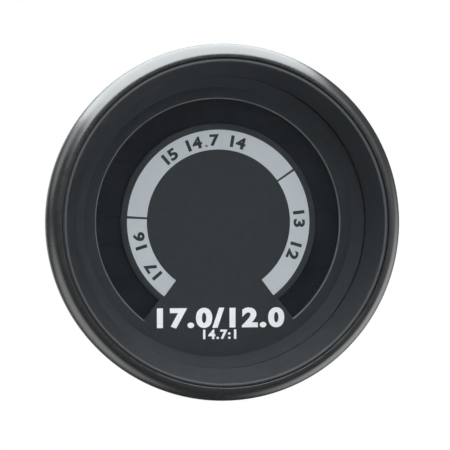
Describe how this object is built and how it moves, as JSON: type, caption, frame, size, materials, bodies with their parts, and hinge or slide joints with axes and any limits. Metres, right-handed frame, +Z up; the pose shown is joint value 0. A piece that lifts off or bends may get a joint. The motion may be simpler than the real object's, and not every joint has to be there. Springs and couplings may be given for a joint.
{
  "type": "air fuel ratio gauge",
  "caption": "Round panel gauge with a ring of lamps behind a curved slot, a silver scale band, a deep black bezel, and a U clamp on two studs.",
  "frame": {"origin": "on the gauge's axis, in the plane of the bezel's rear face, which seats on the front of the panel", "axes": "+Y along the axis to the rear, +Z up as the dial is read, +X to the viewer's right; the face looks towards -Y"},
  "size_m": [0.0572, 0.0665, 0.0572],
  "materials": {
    "satin_black_metal": "satin black baked enamel on rolled steel",
    "matte_black_trim": "matte black moulded",
    "clear_lens": "clear, polished",
    "black_rubber": "matte",
    "dial_black": "fine matte black",
    "scale_silver": "satin silver",
    "smoked_plastic": "dark smoked, glossy",
    "baffle_black": "matte black moulded",
    "lamp_red": "tinted epoxy",
    "lamp_amber": "tinted epoxy",
    "lamp_green": "tinted epoxy",
    "board_green": "solder mask",
    "gilt_pins": "bright",
    "moulded_black": "moulded",
    "chip_black": "moulded epoxy",
    "can_sleeve": "shrunk sleeve",
    "trimmer_blue": "moulded",
    "resistor_tan": "lacquered",
    "brass_parts": "turned",
    "zinc_steel": "bright zinc",
    "case_black": "moulded, fine grain",
    "bracket_steel": "zinc plated strip"
  },
  "bodies": {
    "root": {"bezel": "satin_black_metal", "visor_ring": "matte_black_trim", "lens": "clear_lens", "lens_gasket": "black_rubber", "reflector_ring": "matte_black_trim", "dial_plate": "dial_black", "scale_band": "scale_silver", "smoked_window": "smoked_plastic", "lamp_baffle": "baffle_black", "lean_lamps": "lamp_red", "stoich_lamps": "lamp_amber", "rich_lamps": "lamp_green", "lamp_board": "board_green", "driver_board": "board_green", "header_pins": "gilt_pins", "header_sockets": "moulded_black", "driver_chips": "chip_black", "capacitors": "can_sleeve", "trimmer": "trimmer_blue", "regulator": "chip_black", "resistors": "resistor_tan", "diode": "chip_black", "board_spacers": "brass_parts", "board_screws": "zinc_steel", "case": "case_black", "lead_grommet": "black_rubber", "mounting_studs": "zinc_steel", "stud_washers": "zinc_steel", "stud_nuts": "zinc_steel"},
    "bracket": {"bracket": "bracket_steel", "lock_washers": "zinc_steel"},
    "nut_upper": {"nut_upper": "brass_parts"},
    "nut_lower": {"nut_lower": "brass_parts"}
  },
  "joints": [
    {"name": "bracket_slide", "type": "slide", "parent": "root", "child": "bracket", "axis": [0, 1, 0], "range_m": [-0.005, 0.005]},
    {"name": "nut_upper_spin", "type": "hinge", "parent": "bracket", "child": "nut_upper", "pos_m": [0, 0.0446, 0.0127], "axis": [0, 1, 0], "range_deg": [-2268, 2268]},
    {"name": "nut_lower_spin", "type": "hinge", "parent": "bracket", "child": "nut_lower", "pos_m": [0, 0.0446, -0.0127], "axis": [0, 1, 0], "range_deg": [-2268, 2268]}
  ],
  "couplings": [
    {"joint": "nut_upper_spin", "follows": "bracket_slide", "rad_per_m": 7913.3},
    {"joint": "nut_lower_spin", "follows": "bracket_slide", "rad_per_m": 7913.3}
  ]
}
